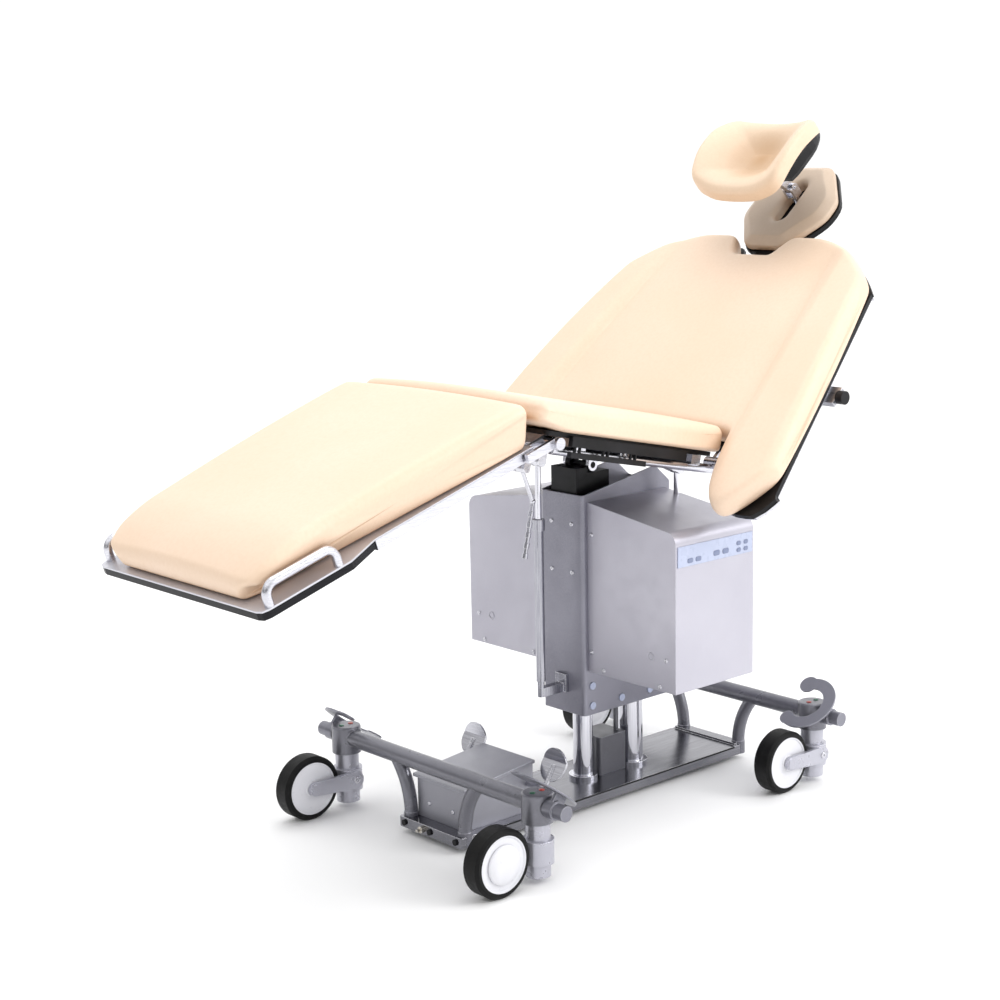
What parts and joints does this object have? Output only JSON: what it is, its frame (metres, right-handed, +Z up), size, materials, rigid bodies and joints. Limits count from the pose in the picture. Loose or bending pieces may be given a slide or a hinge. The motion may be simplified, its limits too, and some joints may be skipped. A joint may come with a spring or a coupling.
{
  "type": "ophthalmology operating table",
  "caption": "Mobile eye-surgery operating table: split leg, seat, winged back and slotted head sections on a lifting column with a castor base.",
  "frame": {"origin": "on the floor under the centre of the front lifting column, midway between the four castor posts", "axes": "+X across the table towards the side with the control strip, +Y towards the head end, +Z up from the floor"},
  "size_m": [0.834, 1.6479, 1.3151],
  "materials": {
    "cushion": "satin upholstery",
    "satin_steel": "brushed",
    "polished_steel": "polished",
    "silver_paint": "satin metallic",
    "dark_paint": "satin",
    "black_edge": "matte",
    "black_metal": "matte",
    "tyre": "matte",
    "hub": "satin",
    "pale_blue": "satin",
    "brass": "plain"
  },
  "bodies": {
    "base": {"base_plate": "polished_steel", "frame_front": "silver_paint", "frame_rear": "silver_paint", "base_trim": "black_edge", "guide_columns": "polished_steel", "lift_drive": "dark_paint", "pedal_box": "dark_paint", "earth_pin": "brass"},
    "pedal_near": {"pedal_near": "satin_steel"},
    "pedal_far": {"pedal_far": "satin_steel"},
    "brake_front": {"brake_front": "satin_steel"},
    "brake_rear": {"brake_rear": "satin_steel"},
    "carriage": {"column_cover": "silver_paint", "lift_bearing": "dark_paint", "tilt_head": "black_metal", "side_boxes": "silver_paint", "control_strip": "pale_blue", "port_caps": "pale_blue", "strut_cylinder": "satin_steel"},
    "strut_rod": {"strut_rod": "polished_steel"},
    "tilt_rods": {"tilt_rods": "polished_steel"},
    "seat": {"seat_frame": "satin_steel", "seat_board": "black_edge", "side_rails": "black_metal", "seat_cushion": "cushion"},
    "release_lever": {"release_lever": "dark_paint"},
    "leg": {"leg_frame": "satin_steel", "leg_board": "black_edge", "grab_rails": "polished_steel", "leg_cushion": "cushion"},
    "back": {"back_frame": "satin_steel", "back_board": "black_edge", "back_cushion": "cushion", "side_clamp": "dark_paint"},
    "side_knob": {"side_knob": "black_edge"},
    "head": {"head_frame": "black_edge", "head_pad": "cushion"},
    "rest_slide": {"rest_carrier": "dark_paint"},
    "rest": {"rest_arm": "dark_paint", "rest_shell": "black_edge", "rest_cushion": "cushion"},
    "rest_knob": {"rest_knob": "black_edge"},
    "yoke_front_near": {"yoke_front_near": "silver_paint"},
    "wheel_front_near": {"hub_front_near": "hub", "tyre_front_near": "tyre"},
    "yoke_front_far": {"yoke_front_far": "silver_paint"},
    "wheel_front_far": {"hub_front_far": "hub", "tyre_front_far": "tyre"},
    "yoke_rear_near": {"yoke_rear_near": "silver_paint"},
    "wheel_rear_near": {"hub_rear_near": "hub", "tyre_rear_near": "tyre"},
    "yoke_rear_far": {"yoke_rear_far": "silver_paint"},
    "wheel_rear_far": {"hub_rear_far": "hub", "tyre_rear_far": "tyre"}
  },
  "joints": [
    {"name": "lift", "type": "slide", "parent": "base", "child": "carriage", "axis": [0, 0, 1], "range_m": [-0.14, 0.06]},
    {"name": "tilt", "type": "hinge", "parent": "carriage", "child": "seat", "pos_m": [0, 0, 0.668], "axis": [1, 0, 0], "range_deg": [-3, 12]},
    {"name": "strut_slide", "type": "slide", "parent": "carriage", "child": "strut_rod", "axis": [0, 0, 1], "range_m": [-0.025, 0.008]},
    {"name": "tilt_rod_slide", "type": "slide", "parent": "carriage", "child": "tilt_rods", "axis": [0, 0, 1], "range_m": [-0.011, 0.037]},
    {"name": "leg_fold", "type": "hinge", "parent": "seat", "child": "leg", "pos_m": [0, -0.2752, 0.7633], "axis": [1, 0, 0], "range_deg": [0, 45]},
    {"name": "back_fold", "type": "hinge", "parent": "seat", "child": "back", "pos_m": [0, 0.15029, 0.67286], "axis": [1, 0, 0], "range_deg": [-41, 8]},
    {"name": "lever_pull", "type": "hinge", "parent": "seat", "child": "release_lever", "pos_m": [0.022, -0.17281, 0.68224], "axis": [1, 0, 0], "range_deg": [-15, 0], "stiffness_Nm_per_rad": 0.6},
    {"name": "clamp_screw", "type": "hinge", "parent": "back", "child": "side_knob", "pos_m": [0.36693, 0.31288, 0.79829], "axis": [1, 0, 0], "range_deg": [-180, 180]},
    {"name": "head_tilt", "type": "hinge", "parent": "back", "child": "head", "pos_m": [0, 0.53376, 1.0274], "axis": [1, 0, 0], "range_deg": [-40, 25]},
    {"name": "rest_slide", "type": "slide", "parent": "head", "child": "rest_slide", "axis": [0, 0.7547, 0.6561], "range_m": [-0.058, 0.024]},
    {"name": "rest_tilt", "type": "hinge", "parent": "rest_slide", "child": "rest", "pos_m": [0, 0.62361, 1.17706], "axis": [1, 0, 0], "range_deg": [-15, 15]},
    {"name": "rest_clamp", "type": "hinge", "parent": "rest_slide", "child": "rest_knob", "pos_m": [0, 0.67216, 1.12121], "axis": [0, -0.6561, 0.7547], "range_deg": [-180, 180]},
    {"name": "pedal_near_tip", "type": "hinge", "parent": "base", "child": "pedal_near", "pos_m": [0.115, -0.212, 0.088], "axis": [1, 0, 0], "range_deg": [-6, 6], "stiffness_Nm_per_rad": 8},
    {"name": "pedal_far_tip", "type": "hinge", "parent": "base", "child": "pedal_far", "pos_m": [-0.115, -0.212, 0.088], "axis": [1, 0, 0], "range_deg": [-6, 6], "stiffness_Nm_per_rad": 8},
    {"name": "brake_front_turn", "type": "hinge", "parent": "base", "child": "brake_front", "pos_m": [0, -0.377, 0.142], "axis": [1, 0, 0], "range_deg": [0, 60]},
    {"name": "brake_rear_turn", "type": "hinge", "parent": "base", "child": "brake_rear", "pos_m": [0, 0.377, 0.142], "axis": [1, 0, 0], "range_deg": [-60, 0]},
    {"name": "swivel_front_near", "type": "hinge", "parent": "base", "child": "yoke_front_near", "pos_m": [0.276, -0.377, 0.06], "axis": [0, 0, 1], "continuous": true},
    {"name": "roll_front_near", "type": "hinge", "parent": "yoke_front_near", "child": "wheel_front_near", "pos_m": [0.276, -0.474, 0.0625], "axis": [1, 0, 0], "continuous": true},
    {"name": "swivel_front_far", "type": "hinge", "parent": "base", "child": "yoke_front_far", "pos_m": [-0.276, -0.377, 0.06], "axis": [0, 0, 1], "continuous": true},
    {"name": "roll_front_far", "type": "hinge", "parent": "yoke_front_far", "child": "wheel_front_far", "pos_m": [-0.276, -0.474, 0.0625], "axis": [1, 0, 0], "continuous": true},
    {"name": "swivel_rear_near", "type": "hinge", "parent": "base", "child": "yoke_rear_near", "pos_m": [0.276, 0.377, 0.06], "axis": [0, 0, 1], "continuous": true},
    {"name": "roll_rear_near", "type": "hinge", "parent": "yoke_rear_near", "child": "wheel_rear_near", "pos_m": [0.276, 0.28, 0.0625], "axis": [1, 0, 0], "continuous": true},
    {"name": "swivel_rear_far", "type": "hinge", "parent": "base", "child": "yoke_rear_far", "pos_m": [-0.276, 0.377, 0.06], "axis": [0, 0, 1], "continuous": true},
    {"name": "roll_rear_far", "type": "hinge", "parent": "yoke_rear_far", "child": "wheel_rear_far", "pos_m": [-0.276, 0.28, 0.0625], "axis": [1, 0, 0], "continuous": true}
  ],
  "couplings": [
    {"joint": "strut_slide", "follows": "tilt", "m_per_rad": -0.1115},
    {"joint": "tilt_rod_slide", "follows": "tilt", "m_per_rad": 0.1672}
  ]
}
